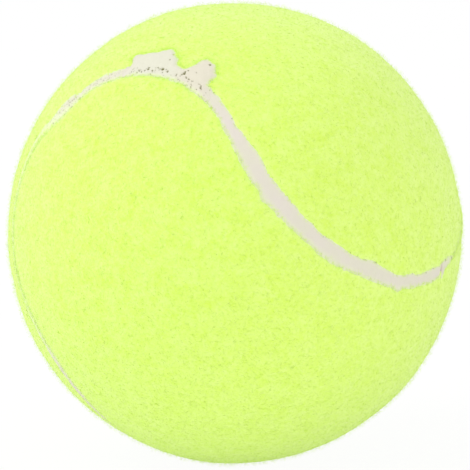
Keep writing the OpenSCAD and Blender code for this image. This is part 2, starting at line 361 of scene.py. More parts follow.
def place(azimuth, latitude):
    """Direction of a place on the ball, in the seam's own frame."""
    a, b = math.radians(azimuth), math.radians(latitude)
    return np.array((math.cos(b) * math.cos(a), math.cos(b) * math.sin(a), math.sin(b)))


def heading(azimuth, latitude, angle):
    """Direction along the ball at a place, from due east towards due north."""
    a, b, c = math.radians(azimuth), math.radians(latitude), math.radians(angle)
    east = np.array((-math.sin(a), math.cos(a), 0))
    north = np.array((-math.sin(b) * math.cos(a), -math.sin(b) * math.sin(a), math.cos(b)))
    return math.cos(c) * east + math.sin(c) * north


def arc_points(p, t, q, spacing):
    """Points on the unit sphere along the circle that leaves p towards t, ending before q."""
    axis = unit(np.cross(t, q - p))
    centre = axis * (axis @ p)
    radius = np.linalg.norm(p - centre)
    across = unit(p - centre)
    angle = math.atan2((q - centre) @ t, (q - centre) @ across) % math.tau
    steps = max(1, round(angle * radius / spacing))
    turns = np.arange(steps)[:, None] / steps * angle
    return centre + radius * (np.cos(turns) * across + np.sin(turns) * t)


def span_points(p0, t0, p1, t1, spacing):
    """Two circular arcs that leave p0 towards t0 and reach p1 heading towards t1."""
    chord = p1 - p0
    along = chord @ (t0 + t1)
    bend = 1 - t0 @ t1
    reach = (math.sqrt(along * along + 2 * bend * (chord @ chord)) - along) / (2 * bend)
    corner0, corner1 = p0 + reach * t0, p1 - reach * t1
    joint = (corner0 + corner1) / 2
    return (arc_points(p0, t0, joint, spacing),
            arc_points(joint, unit(corner1 - corner0), p1, spacing))


def ripple(run, seed, rms, longest, shortest):
    """Closed wave along a run that goes from 0 to 1, in wave counts between the two given."""
    rng = np.random.default_rng(seed)
    waves = np.arange(longest, shortest)
    phases = rng.uniform(0, math.tau, len(waves))
    least, greatest = 0.4, 1
    sizes = rng.uniform(least, greatest, len(waves)) / np.sqrt(waves)
    value = (sizes * np.cos(math.tau * np.outer(run, waves) + phases)).sum(1)
    return rms * value / value.std()


def lumps(points, size, seed):
    """Smooth noise from about -1 to 1 at points in millimetres, with lumps of about that size."""
    shift, gain = np.array((17.3, 5.7, 41.9)) * (seed + 1), 1.7
    return np.array([noise.noise(Vector(p)) for p in (points / size + shift).tolist()]) * gain


def relief(points, layers):
    """Sum of lumps at points in millimetres, in layers of height, size and seed."""
    return sum(height * lumps(points, size, seed) for height, size, seed in layers)


def fade(x, low=0, high=1):
    """Smooth step from 0 to 1 as x goes from low to high."""
    x = np.clip((x - low) / (high - low), 0, 1)
    return x * x * (3 - 2 * x)


def sown(count):
    """Even directions all over the ball."""
    k = np.arange(count) + 0.5
    z = 1 - 2 * k / count
    a = k * math.pi * (1 + math.sqrt(5))
    r = np.sqrt(1 - z * z)
    return np.stack((r * np.cos(a), r * np.sin(a), z), 1)


class SeamLine:
    """The closed line down the middle of the seam, with an edge of felt on each side."""

    # Step along the line in millimetres, and directions that are measured at once
    SPACING = 0.2
    AT_ONCE = 8000

    def __init__(self, nap_r, width):
        self.nap_r = nap_r
        stations = [(place(a, b), heading(a, b, c))
                    for a, b, c in zip(SEAM_AZIMUTHS, SEAM_LATITUDES, SEAM_HEADINGS)]
        points, shares = [], []
        for i, (p0, t0) in enumerate(stations):
            following = (i + 1) % len(stations)
            w0, w1 = SEAM_WIDTH_SHARES[i], SEAM_WIDTH_SHARES[following]
            middle = (w0 + w1) / 2
            arcs = span_points(p0, t0, *stations[following], self.SPACING / nap_r)
            for arc, (start, end) in zip(arcs, ((w0, middle), (middle, w1))):
                points.append(arc)
                shares.append(np.linspace(start, end, len(arc), endpoint=False))
        self.points = np.vstack(points)
        step = np.roll(self.points, -1, 0) - np.roll(self.points, 1, 0)
        self.along = unit(step)
        self.left = unit(np.cross(self.points, self.along))
        lengths = np.linalg.norm(np.roll(self.points, -1, 0) - self.points, axis=1)
        self.run = np.concatenate(([0], np.cumsum(lengths)[:-1])) / lengths.sum()
        middle = width / 2 * np.concatenate(shares)
        self.half = {}
        for side, seed in EDGE_SEEDS.items():
            half = middle
            for k, waves in enumerate(EDGE_RIPPLES):
                half = half + ripple(self.run, seed + k, *waves)
            for azimuth, latitude, on, push, spread in EDGE_NIBS:
                if on == side:
                    at = self.points[self.nearest(place(azimuth, latitude)[None])[0]]
                    apart = np.linalg.norm(self.points - at, axis=1) * nap_r
                    half = half + push * np.exp(-(apart / spread) ** 2)
            self.half[side] = np.maximum(half, LEAST_HALF_WIDTH)

    def edge(self, side, inset=0.0):
        """Directions along the felt's edge on one side, moved onto the felt by inset."""
        offset = np.tan((self.half[side] + inset) / self.nap_r)[:, None]
        return unit(self.points + side * offset * self.left)

    def nearest(self, directions):
        """Number of the place on the line that is nearest to each direction."""
        parts = np.array_split(directions, len(directions) // self.AT_ONCE + 1)
        return np.concatenate([np.argmax(part @ self.points.T, 1) for part in parts])

    def measured(self, directions):
        """Nearest place on the line, and how far each direction lies to the left of it."""
        index = self.nearest(directions)
        across = np.arcsin(np.clip((directions * self.left[index]).sum(1), -1, 1))
        return index, across * self.nap_r

    def clear(self, directions, side):
        """How far directions lie onto the felt of one side, from its edge."""
        index, across = self.measured(directions)
        return side * across - self.half[side][index]


class SpillShape:
    """The flat outline of the patch, in the frame in which X runs along the seam."""

    def __init__(self, seam):
        towards = Euler((0, math.radians(90 - SPILL_LATITUDE), math.radians(SPILL_AZIMUTH)))
        turned = Euler((0, 0, math.radians(SPILL_TURN)))
        self.turn = np.array(towards.to_matrix() @ turned.to_matrix())
        self.nap_r = seam.nap_r
        lower = self.flat(seam.edge(-1))
        beside, every = 4, 5
        lower = lower[(lower[:, 2] > 0) & (np.abs(lower[:, 1]) < beside)
                      & (lower[:, 0] > SPILL_FILL[0]) & (lower[:, 0] < SPILL_FILL[1])]
        lower = lower[np.argsort(-lower[:, 0])]
        outline = np.vstack((np.array(SPILL_EDGE, float), lower[::every, :2]))
        for _ in range(SPILL_ROUNDS):
            ahead = np.roll(outline, -1, 0)
            outline = np.stack((outline * 0.75 + ahead * 0.25, outline * 0.25 + ahead * 0.75), 1)
            outline = outline.reshape(-1, 2)
        self.outline = self.spaced(outline, SPILL_SPACING)
        solid = np.column_stack((self.outline, np.zeros(len(self.outline))))
        self.outline = self.outline + np.column_stack(
            [relief(solid, [layer]) for layer in RAGGED_LUMPS])

    @staticmethod
    def spaced(outline, spacing):
        """The outline again, with its points evenly spaced."""
        closed = np.vstack((outline, outline[:1]))
        run = np.concatenate(([0], np.cumsum(np.linalg.norm(np.diff(closed, axis=0), axis=1))))
        at = np.linspace(0, run[-1], round(run[-1] / spacing), endpoint=False)
        return np.column_stack([np.interp(at, run, closed[:, k]) for k in (0, 1)])

    def flat(self, directions):
        """Places along and out from the seam, and up, of directions in the seam's frame."""
        return directions @ self.turn * self.nap_r

    def raised(self, flat):
        """Directions in the seam's frame of places along and out from the seam."""
        up = np.sqrt(self.nap_r ** 2 - (flat ** 2).sum(1))
        return unit(np.column_stack((flat, up)) @ self.turn.T)

    def inside(self, flat):
        """Whether places along and out from the seam are inside the outline."""
        x, y = flat[:, :1], flat[:, 1:2]
        ax, ay = self.outline.T
        bx, by = np.roll(self.outline, -1, 0).T
        between = (ay > y) != (by > y)
        rise = np.where(by == ay, 1, by - ay)
        hits = between & (x < (bx - ax) * (y - ay) / rise + ax)
        return hits.sum(1) % 2 == 1

    def hem(self, count):
        """Directions along the outline, each repeated, and the ways from there into the patch."""
        outline = np.repeat(self.outline, count, 0)
        step = np.repeat(np.roll(self.outline, -1, 0) - np.roll(self.outline, 1, 0), count, 0)
        inward = unit(np.column_stack((-step[:, 1], step[:, 0])))
        outside, inside = 0.12, 0.3
        roots = self.raised(outline - outside * inward)
        return roots, unit(self.raised(outline + inside * inward) - roots)

    def covers(self, directions):
        """Whether the patch lies over directions in the seam's frame."""
        flat = self.flat(directions)
        near = np.abs(flat[:, :2] - (SPILL_MIDDLE, 0)) < SPILL_REACH
        near = near.all(1) & (flat[:, 2] > 0)
        found = np.zeros(len(flat), bool)
        found[near] = self.inside(flat[near, :2])
        return found


def triangles(flat, count):
    """Triangles of the area inside an outline of the first count points, through the others."""
    places = [Vector(p) for p in flat.tolist()]
    _, _, faces, origins, _, _ = delaunay_2d_cdt(places, [], [list(range(count))], 1, 1e-9, True)
    origin = np.array([found[0] for found in origins])
    return origin[np.array(faces)]


def make_piece(name, points, faces, finish, corners, marks=(), sharp=()):
    """Mesh object from points in the seam's frame, riding on the ball, with its bake map.

    Faces that sharp numbers keep their own shading, and all others are shaded smooth.
    """
    turn = np.array(Euler([math.radians(a) for a in BALL_ATTITUDE]).to_matrix())
    places = points @ turn.T * MM
    across, _, up = (unit(places) ** 2).T
    places *= (1 + TALLNESS * (up - across))[:, None]
    mesh = bpy.data.meshes.new(name)
    mesh.from_pydata(places.tolist(), [], faces)
    mesh.uv_layers.new(name=BAKE_MAP).uv.foreach_set(
        "vector", np.asarray(corners, np.float32).ravel())
    for mark, values in dict(marks).items():
        layer = mesh.attributes.new(mark, "FLOAT", "POINT")
        layer.data.foreach_set("value", np.asarray(values, np.float32))
    smooth = np.ones(len(faces), bool)
    smooth[np.asarray(sharp, int)] = False
    mesh.polygons.foreach_set("use_smooth", smooth)
    mesh.materials.append(finish)
    piece = bpy.data.objects.new(name, mesh)
    bpy.context.scene.collection.objects.link(piece)
    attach(piece, BODY)
    return piece


def equal_area(directions, side):
    """Map of a panel on which every part keeps its share of the area."""
    scale = np.sqrt(2 / (1 + side * directions[:, 2]).clip(1e-6))
    return np.column_stack((directions[:, 0] * scale, side * directions[:, 1] * scale))


def fitted(flat, low, high):
    """Places moved and stretched to fill the box from low to high."""
    low, high = np.array(low), np.array(high)
    return low + (flat - flat.min(0)) / np.ptp(flat, axis=0) * (high - low)


def overgrown(directions, nap_r):
    """How far the nap has grown over the seam at each direction, from 0 to 1."""
    grown = np.zeros(len(directions))
    for azimuth, latitude, spread in SEAM_OVERGROWN:
        apart = np.linalg.norm(directions - place(azimuth, latitude), axis=1) * nap_r / spread
        grown = np.maximum(grown, np.exp(-apart ** 4))
    return grown


def felt_radius(sizes, directions, clear):
    """Radius of the felt's surface, rounded off at its edge, with the lumps of its cloth."""
    base, foot = sizes.felt_radius / MM, sizes.seam_radius / MM - EDGE_DROP
    fall = (1 - np.clip(clear / (sizes.shoulder / MM), 0, 1)) ** 2
    radius = base + (foot - base) * fall * (1 - overgrown(directions, NAP_R / MM))
    points = directions * sizes.felt_radius / MM
    return radius + relief(points, FELT_LUMPS) * fade(clear, 0, LUMPS_START)


def closed_skin(upper, under, count, first, both, wall_map):
    """Faces of a top and an underside with a wall between their rims, and their map's corners.

    Each rim is its side's first count points, and the underside's points start at first. Both
    sides' places on the map are given, and the wall's stretch of it from corner to corner.
    """
    rim = np.arange(count)
    ahead = np.roll(rim, -1)
    wall = np.column_stack((rim + first, ahead + first, ahead, rim))
    (low_x, bottom), (high_x, lip) = wall_map
    x = low_x + (high_x - low_x) * np.arange(count + 1) / count
    wall_places = [np.column_stack((across, np.full(count, up))) for across, up in (
        (x[:-1], bottom), (x[1:], bottom), (x[1:], lip), (x[:-1], lip))]
    corners = np.vstack((both[upper].reshape(-1, 2), both[under].reshape(-1, 2),
                         np.stack(wall_places, 1).reshape(-1, 2)))
    return upper.tolist() + under.tolist() + wall.tolist(), corners


def felt_panel(side, seam, sizes, finish):
    """Closed skin of one felt panel: napped top, cut wall along the seam, and back."""
    rows = [seam.edge(side, inset)[::side] for inset in FELT_ROWS]
    cloth, back = sown(FELT_POINTS), sown(BACK_POINTS)
    top = np.vstack((*rows, cloth[seam.clear(cloth, side) > FELT_POINTS_CLEAR]))
    back = np.vstack((rows[0], back[seam.clear(back, side) > BACK_POINTS_CLEAR]))
    count = len(rows[0])

    def spread(directions):
        scale = 1 / (1 + side * directions[:, 2:])
        return directions[:, :2] * scale * (1, side)

    upper = triangles(spread(top), count)
    under = triangles(spread(back), count)[:, ::-1] + len(top)
    clear = np.maximum(seam.clear(top, side), 0)
    radius = felt_radius(sizes, top, clear)
    points = np.vstack((top * radius[:, None], back * sizes.felt_back_radius / MM))
    both = np.vstack((fitted(equal_area(top, side), *PANEL_TOP_MAP),
                      fitted(equal_area(back, side), *PANEL_BACK_MAP)))
    faces, corners = closed_skin(upper, under, count, len(top), both, PANEL_WALL_MAP)
    rim = np.concatenate((1 - fade(clear, 0, RIM_WIDTH), np.ones(len(back))))
    piece = make_piece("felt_cover_" + PANEL_LETTERS[side], points, faces, finish, corners,
                       {"rim": rim}, range(len(faces) - count, len(faces)))
    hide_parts("felt_panel_" + PANEL_LETTERS[side])


def fibre_points(rng, roots, lean, radius, seam, side, look):
    """Root, middle and tip of each fibre, and which fibres stand up from the felt.

    A fibre with a lean grows that way, over the seam or the patch, and the others any way.
    """
    count = len(roots)
    index, across = seam.measured(roots)
    left = seam.left[index]
    fringe = np.abs(lean).sum(1) > 0
    grown = overgrown(roots, seam.nap_r)
    ahead = unit(np.cross(roots, rng.normal(size=(count, 3))))
    sideways = rng.normal(0, LEAN_SPREAD, (count, 1)) * np.cross(roots, lean)
    ahead[fringe] = unit((lean + sideways)[fringe])
    beside = np.cross(roots, ahead)
    stray = (rng.random(count) < look.strays) & ~fringe
    length = look.length / MM * np.exp(rng.normal(0, LENGTH_SPREAD, count)).clip(*LENGTH_LIMITS)
    length[fringe] *= FRINGE_LENGTHS[side] + GROWN_LENGTH * grown[fringe]
    curl = rng.normal(0, CURL_SPREAD, (count, 1))
    least, most = STRAY_RISE
    rise = np.where(stray, least + most * rng.random(count) ** STRAY_RARITY,
                    rng.uniform(*FLAT_RISE, count))
    rise[fringe] = rng.uniform(*FRINGE_RISE, fringe.sum()) * (1 + GROWN_RISE * grown[fringe])
    arch = np.where(stray, rise * rng.uniform(*STRAY_ARCH, count), rng.uniform(*FLAT_ARCH, count))
    arch[fringe] += FRINGE_ARCH + GROWN_ARCH * grown[fringe]
    half = length[:, None] / 2
    middle = half * (np.cos(curl) * ahead - np.sin(curl) * beside)
    tip = middle + half * (np.cos(curl) * ahead + np.sin(curl) * beside)
    # A fibre that would reach far over the seam turns back onto the felt
    tip_clear = side * (across + (tip * left).sum(1)) - seam.half[side][index]
    over = ~fringe & (tip_clear < -SEAM_REACH)
    places = []
    for move, height in ((np.zeros(3) * tip, -ROOT_DEPTH), (middle, arch), (tip, rise)):
        move = np.where(over[:, None], move - 2 * (move * left).sum(1, keepdims=True) * left, move)
        places.append(unit(roots * seam.nap_r + move) * (radius + height)[:, None])
    return np.stack(places, 1), stray


def spindles(places, thickness, rng):
    """Closed three-sided spindle of a thickness of its own along each root, middle and tip."""
    count = len(places)
    thick = thickness / 2 * rng.uniform(*THICKNESS_LIMITS, count)
    along = unit(places[:, 2] - places[:, 0])
    sideways = unit(np.cross(along, places[:, 1]))
    upward = np.cross(sideways, along)
    ring = []
    for angle in SPINDLE_ANGLES:
        a = math.radians(angle)
        reach = thick[:, None] * (math.cos(a) * sideways + math.sin(a) * upward)
        ring.append(places[:, 1] + reach)
    points = np.stack((places[:, 0], *ring, places[:, 2]), 1).reshape(-1, 3)
    faces, map_places = [], []
    margin, width, foot, head = 0.08, 0.28, (0.5, 0.05), (0.5, 0.95)
    for k in range(3):
        following = (k + 1) % 3
        low, high = (margin + width * k, 0.5), (margin + width * (k + 1), 0.5)
        faces += [(0, 1 + k, 1 + following), (1 + k, 4, 1 + following)]
        map_places += [foot, low, high, low, head, high]
    start = np.arange(count)[:, None, None] * SPINDLE_POINTS
    every = (np.array(faces) + start).reshape(-1, 3)
    grid = math.ceil(math.sqrt(count))
    cell = np.column_stack((np.arange(count) % grid, np.arange(count) // grid))
    corners = (cell[:, None] + np.array(map_places)[None]) / grid
    return points, every.tolist(), corners.reshape(-1, 2)


def nap(side, seam, spill, sizes, look, finish):
    """Loose fibres over one felt panel and along its edge, in pieces of like size."""
    rng = np.random.default_rng(NAP_SEED + side)
    field = sown(look.fibres)
    edge = seam.edge(side)
    often = look.fringe * FRINGE_TIMES[side] * (1 + overgrown(edge, seam.nap_r))
    often = often.round().astype(int)
    hem, inward = spill.hem(look.hem)
    roots = np.vstack((field, np.repeat(edge, often, 0), hem))
    lean = np.vstack((np.zeros(field.shape), np.repeat(-side * seam.left, often, 0), inward))
    hemmed = np.arange(len(roots)) >= len(roots) - len(hem)
    jitter = np.where(hemmed, HEM_JITTER, ROOT_JITTER)[:, None] / seam.nap_r
    roots = unit(roots + rng.normal(0, 1, roots.shape) * jitter)
    clear = seam.clear(roots, side)
    kept = (clear > ROOT_CLEAR) & (hemmed | ~spill.covers(roots))
    roots, clear, lean, hemmed = roots[kept], clear[kept], lean[kept], hemmed[kept]
    fringe = np.abs(lean).sum(1) > 0
    order = rng.permutation(len(roots))
    letter = PANEL_LETTERS[side]
    speck = place(*SPECK[:2])
    for k, part in enumerate(np.array_split(order, NAP_PARTS)):
        radius = felt_radius(sizes, roots[part], clear[part]) + HEM_LIFT * hemmed[part]
        places, stray = fibre_points(rng, roots[part], lean[part], radius, seam, side, look)
        tone = rng.random(len(part))
        # Painted shade: a few fibres over the seam on panel a's side, where its edge lies in shade,
        # are painted dark
        shadowed_fringe = fringe[part] & (tone < SHADOWED_SHARE) & ~hemmed[part] & (side > 0)
        shares = np.where(stray, STRAY_THIN, np.where(shadowed_fringe, SHADOWED_THICK, 1))
        points, faces, corners = spindles(places, look.thickness / MM * shares, rng)
        tone[fringe[part]] = FRINGE_TONE + (1 - FRINGE_TONE) * tone[fringe[part]]
        tone[shadowed_fringe] = SHADOWED_TONE
        # Painted highlight: tips are paler on strays, on panel b's fringe and over the seam where
        # the nap has grown over it
        pale = np.where(stray, STRAY_HIGHLIGHT, FLAT_HIGHLIGHT)
        pale += fringe[part] * (FRINGE_HIGHLIGHT * (1 - side) + overgrown(roots[part], seam.nap_r))
        tone[np.linalg.norm(roots[part] - speck, axis=1) * seam.nap_r < SPECK[2]] = SPECK_TONE
        piece = make_piece(f"nap_{letter}_{k + 1}", points, faces, finish, corners,
                           {"tone": np.repeat(tone, SPINDLE_POINTS),
                            "tip": np.outer(pale, TIP_PROFILE).ravel()})
        # The edges from each spindle's root and tip stay sharp, so that its three sides are flat
        ends = np.empty((len(piece.data.edges), 2), np.int32)
        piece.data.edges.foreach_get("vertices", ends.ravel())
        sharp = np.isin(ends % SPINDLE_POINTS, (0, SPINDLE_POINTS - 1)).any(1)
        piece.data.edges.foreach_set("use_edge_sharp", sharp)
        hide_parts("felt_panel_" + letter)


def seam_strip(seam, sizes, finish):
    """The rubber that fills the seam, a closed ring with a crowned top between the felt's edges."""
    top, foot = sizes.seam_radius / MM, sizes.foot_radius / MM
    n = len(seam.points)
    shares = np.array(STRIP_SHARES)
    outward = np.abs(shares)
    half = np.where(shares[None] < 0, seam.half[-1][:, None], seam.half[1][:, None]) + STRIP_TUCK
    offset = np.tan(half * shares / seam.nap_r)[:, :, None]
    directions = unit(seam.points[:, None] + offset * seam.left[:, None])
    flat = directions.reshape(-1, 3)

    def lumpy(layers):
        return relief(flat * top, layers).reshape(n, -1)

    grown = overgrown(flat, seam.nap_r).reshape(n, -1)
    radius = top + (lumpy(STRIP_LUMPS) + GROWN_FILL * grown) * (1 - shares ** 4)
    fold = np.zeros(radius.shape)
    for azimuth, latitude, half_length, half_width in SEAM_CREASES:
        apart = (directions - place(azimuth, latitude)) * seam.nap_r
        index = seam.nearest(place(azimuth, latitude)[None])[0]
        ahead, left = seam.along[index], seam.left[index]
        along = apart @ (ahead * CREASE_ALONG + left * CREASE_ACROSS)
        beside = apart @ (ahead * CREASE_ACROSS - left * CREASE_ALONG)
        fold += np.exp(-(along / half_length) ** 2 - (beside / half_width) ** 2)
    # Small gaps open here and there along the felt's edge, more of them on panel a's side, and the
    # rubber's finish paints them dark as shade
    near_edge = fade(outward, GAP_START, 1) * np.where(shares > 0, *GAP_SHARES)
    pit = fade(lumpy(GAP_LUMPS), 0.6, 1.1) * near_edge * (1 - grown)
    azimuth, latitude, spread = SEAM_SPECKLED
    apart = np.linalg.norm(directions - place(azimuth, latitude), axis=2) * seam.nap_r / spread
    thin = np.exp(-apart ** 4)
    pit += fade(lumpy(SPECKLE_LUMPS), 0.4, 0.9) * thin * SPECKLE_SHARE
    radius = radius - GAP_DEPTH * (pit + fold).clip(0, 1)
    ring = directions * radius[:, :, None]
    feet = directions[:, STRIP_FEET] * foot
    section = np.concatenate((ring, feet[:, ::-1]), 1)
    m = section.shape[1]
    # Panel b's edge is tinted further in than panel a's
    tinted = np.where(shares < 0, 1.1 * outward ** 1.6, outward ** 4)
    marks = {"pit": pit.clip(0, 1), "fold": fold, "thin": thin,
             "edge": tinted + 0.5 * thin + 2 * grown}
    marks = {name: np.concatenate((value, np.zeros((n, len(STRIP_FEET)))), 1).ravel()
             for name, value in marks.items()}
    i, j = np.meshgrid(np.arange(n), np.arange(m), indexing="ij")
    i2, j2 = (i + 1) % n, (j + 1) % m
    faces = np.stack((i * m + j, i2 * m + j, i2 * m + j2, i * m + j2), -1).reshape(-1, 4)
    per_row = math.ceil(n / STRIP_MAP_ROWS)
    row, column = i // per_row, i % per_row
    low_x, wide = column / per_row, 0.98 / per_row
    low_y, tall = (row + 0.02 + 0.96 * j / m) / STRIP_MAP_ROWS, 0.94 / m / STRIP_MAP_ROWS
    corners = np.stack((low_x, low_y, low_x + wide, low_y, low_x + wide, low_y + tall,
                        low_x, low_y + tall), -1)
    sides = np.flatnonzero(np.isin(j, (len(shares) - 1, m - 1)))
    piece = make_piece("seam_strip", section.reshape(-1, 3), faces[:, ::-1].tolist(), finish,
                       corners.reshape(-1, 4, 2)[:, ::-1].reshape(-1, 2),
                       marks, sides)
    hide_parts("seam_rubber")


def patch_pits(flat, outline):
    """Depth from 0 to 1 of the pores and pinholes at places along and out from the seam."""
    low, high = outline.min(0), outline.max(0)
    rng = np.random.default_rng(77)
    margin, window, inset, band, radii = 0.6, 0.4, 0.3, 1.2, (0.06, 0.12)
    edge = np.array([(x, outline[np.abs(outline[:, 0] - x) < window, 1].min())
                     for x in rng.uniform(low[0] + margin, high[0] - margin, SPILL_PINHOLES)])
    pinholes = np.column_stack((edge + (0, inset) + (0, band) * rng.random((SPILL_PINHOLES, 1)),
                                rng.uniform(*radii, SPILL_PINHOLES)))
    depth = np.zeros(len(flat))
    for k, (along, out, size) in enumerate((*SPILL_PORES, *pinholes.tolist())):
        reach = np.linalg.norm(flat - (along, out), axis=1) / size
        share = 1 if k < len(SPILL_PORES) else PINHOLE_SHARE
        depth = np.maximum(depth, np.exp(-reach ** 2 * 1.4) * share)
    return depth


def spread_patch(seam, spill, sizes, finish):
    """The patch of seam rubber that fills its stretch of the groove and lies over the felt."""
    outline = spill.outline
    low, high = outline.min(0), outline.max(0)
    x, y = np.meshgrid(np.arange(low[0], high[0], PATCH_STEP), np.arange(low[1], high[1], PATCH_ROW))
    x = x + (np.arange(x.shape[0]) % 2)[:, None] * PATCH_STEP / 2
    field = np.column_stack((x.ravel(), y.ravel()))
    field = field[spill.inside(field)]
    apart = np.linalg.norm(field[:, None] - outline[None], axis=2).min(1)
    field, apart = field[apart > PATCH_CLEAR], apart[apart > PATCH_CLEAR]
    flat = np.vstack((outline, field))
    apart = np.concatenate((np.zeros(len(outline)), apart))
    directions = spill.raised(flat)
    felt = fade(seam.clear(directions, 1), -0.21, 0.49)
    felt_r, seam_r = sizes.felt_radius / MM, sizes.seam_radius / MM
    first, last = PATCH_TAPERS
    ends = 1 - fade(flat[:, 0] - low[0], 0, first) * fade(high[0] - flat[:, 0], 0, last)
    rim = seam_r + 0.01 + (felt_r - 0.08 - seam_r) * felt
    over_seam = PATCH_OVER_SEAM + (PATCH_OVER_ENDS - PATCH_OVER_SEAM) * ends
    full = seam_r + over_seam + (felt_r + PATCH_OVER_FELT - seam_r - over_seam) * felt
    swell = 1 - (1 - np.clip(apart / SWELL_WIDTH, 0, 1)) ** SWELL_POWER
    radius = rim + (full - rim) * swell
    radius += relief(directions * spill.nap_r, PATCH_LUMPS) * fade(apart, 0, 0.5)
    pit = patch_pits(flat, outline)
    radius -= PORE_DEPTH * pit
    foot = np.minimum(rim - 0.06, radius - 0.03)
    upper = triangles(flat, len(outline))
    area = np.cross(flat[upper[:, 1]] - flat[upper[:, 0]], flat[upper[:, 2]] - flat[upper[:, 0]])
    if area.sum() < 0:
        raise RuntimeError("the patch's outline runs the wrong way round")
    both = np.vstack((fitted(flat, *PATCH_TOP_MAP), fitted(flat, *PATCH_UNDER_MAP)))
    faces, corners = closed_skin(upper, upper[:, ::-1] + len(flat), len(outline), len(flat), both,
                                 PATCH_WALL_MAP)
    points = np.vstack((directions * radius[:, None], directions * foot[:, None]))
    marks = {"pit": pit, "edge": (1 - fade(apart, 0, 0.7)) * (1 - ends), "lift": 1 - ends,
             "blush": fade(flat[:, 0], 5.5, 8.5)}
    piece = make_piece("spread_patch", points, faces, finish, corners,
                       {name: np.tile(values, 2) for name, values in marks.items()})
    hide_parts("seam_spill")


class Wire:
    """A node's output that can be used in sums."""

    def __init__(self, finish, socket):
        self.finish = finish
        self.socket = socket

    def __add__(self, other):
        return self.finish.sum("ADD", self, other)

    def __sub__(self, other):
        return self.finish.sum("SUBTRACT", self, other)

    def __rsub__(self, other):
        return self.finish.sum("SUBTRACT", other, self)

    def __mul__(self, other):
        return self.finish.sum("MULTIPLY", self, other)

    __radd__ = __add__
    __rmul__ = __mul__


class Finish:
    """A material or world as it is put together."""

    def __init__(self, name, owner=None):
        self.owner = owner or bpy.data.materials.new(name)
        self.owner.use_nodes = True
        self.tree = self.owner.node_tree
        self.tree.nodes.clear()

    def node(self, kind, settings=(), values=(), out=0):
        """A node with its settings made first, then its sockets' values or links."""
        node = self.tree.nodes.new(kind)
        for name, value in dict(settings).items():
            setattr(node, name, value)
        for name, value in dict(values).items():
            if isinstance(value, Wire):
                self.tree.links.new(value.socket, node.inputs[name])
            else:
                node.inputs[name].default_value = value
        return Wire(self, node.outputs[out])

    def sum(self, operation, *values):
        return self.node("ShaderNodeMath", {"operation": operation}, enumerate(values))

    def clamped(self, value):
        return self.node("ShaderNodeClamp", (), {"Value": value})

    def mix(self, share, first, second):
        """Colour between two others, or between a colour and a wire."""
        first, second = (c if isinstance(c, Wire) else (*c, 1) for c in (first, second))
        return self.node("ShaderNodeMix", {"data_type": "RGBA"},
                         {"Factor": share, 6: first, 7: second}, 2)

    def place(self):
        return self.node("ShaderNodeTexCoord", (), (), "Object")

    def cloud(self, size, detail=2, roughness=0.5, distortion=0.0):
        """Noise with clouds of about that size in metres."""
        return self.node("ShaderNodeTexNoise", (), {
            "Vector": self.place(), "Scale": 1 / size, "Detail": detail,
            "Roughness": roughness, "Distortion": distortion})

    def mark(self, name):
        return self.node("ShaderNodeAttribute", {"attribute_name": name}, (), "Fac")

    def bump(self, height, depth, strength=1.0):
        return self.node("ShaderNodeBump", (), {
            "Strength": strength, "Distance": depth, "Height": height})

    def surface(self, **values):
        named = {name.replace("_", " "): value for name, value in values.items()}
        shader = self.node("ShaderNodeBsdfPrincipled", (), named)
        self.node_to_output(shader)
        return self.owner

    def node_to_output(self, shader):
        kind = "ShaderNodeOutputWorld" if isinstance(self.owner, bpy.types.World) \
            else "ShaderNodeOutputMaterial"
        end = self.tree.nodes.new(kind)
        self.tree.links.new(shader.socket, end.inputs["Surface"])


def felt_clouds(finish):
    """Matted and patchy clouds in the felt, which its cloth and its loose fibres share."""
    matted = finish.cloud(0.7 * MM, 2, 0.5, 0.8) * 1.4
    return matted, finish.cloud(2.2 * MM, 2, 0.5, 0.6) * 1.2


def felt_finish(colours):
    """Felt cloth: a mottled mat of short fibres, a little deeper along the cut edge."""
    felt = Finish("felt_cloth")
    tufts = felt.cloud(0.22 * MM, 3, 0.6, 0.6)
    matted, patchy = felt_clouds(felt)
    # The tufts that raise the bump also pale the colour: its hollows are painted deeper as shade and
    # its high places paler as light
    pale = felt.clamped(tufts * 1.4 + matted + patchy - 1.4)
    colour = felt.mix(pale, tuple(colours.felt_deep), tuple(colours.felt_pale))
    colour = felt.mix(felt.mark("rim") * 0.3, colour, FELT_RIM)
    return felt.surface(
        Base_Color=colour, Roughness=tufts * 0.15 + 0.82, Normal=felt.bump(tufts, 0.08 * MM, 0.25),
        Specular_IOR_Level=0.15, Sheen_Weight=0.4, Sheen_Roughness=0.6, Sheen_Tint=FELT_SHEEN)


def nap_finish(colours):
    """Loose fibres, each a little paler or deeper than the next, with a painted highlight on their
    tips and a few painted dark as shade.
    """
    loose = Finish("felt_nap")
    tone = loose.mark("tone")
    matted, patchy = felt_clouds(loose)
    pale = loose.clamped(tone * 0.5 + matted + patchy - 0.95)
    colour = loose.mix(pale, tuple(colours.felt_deep), tuple(colours.felt_pale))
    # Painted highlight on the fibres' tips
    tips = loose.clamped(loose.mark("tip") * 0.5)
    colour = loose.mix(tips, colour, tuple(colours.felt_tip_highlight))
    # Painted shade: fibres of the lowest tones take the deep shaded colour
    colour = loose.mix(loose.clamped(1 - tone * 4.6), colour, tuple(colours.felt_painted_shade))
    # The speck's own brown, and painted shade on the dark fibres along panel a's edge
    colour = loose.mix(loose.clamped(tone * -1), colour, SPECK_AND_SHADE_BROWN)
    return loose.surface(
        Base_Color=colour, Roughness=tone * 0.2 + 0.7, Specular_IOR_Level=0.2,
        Sheen_Weight=0.3, Sheen_Roughness=0.5, Sheen_Tint=FELT_SHEEN)


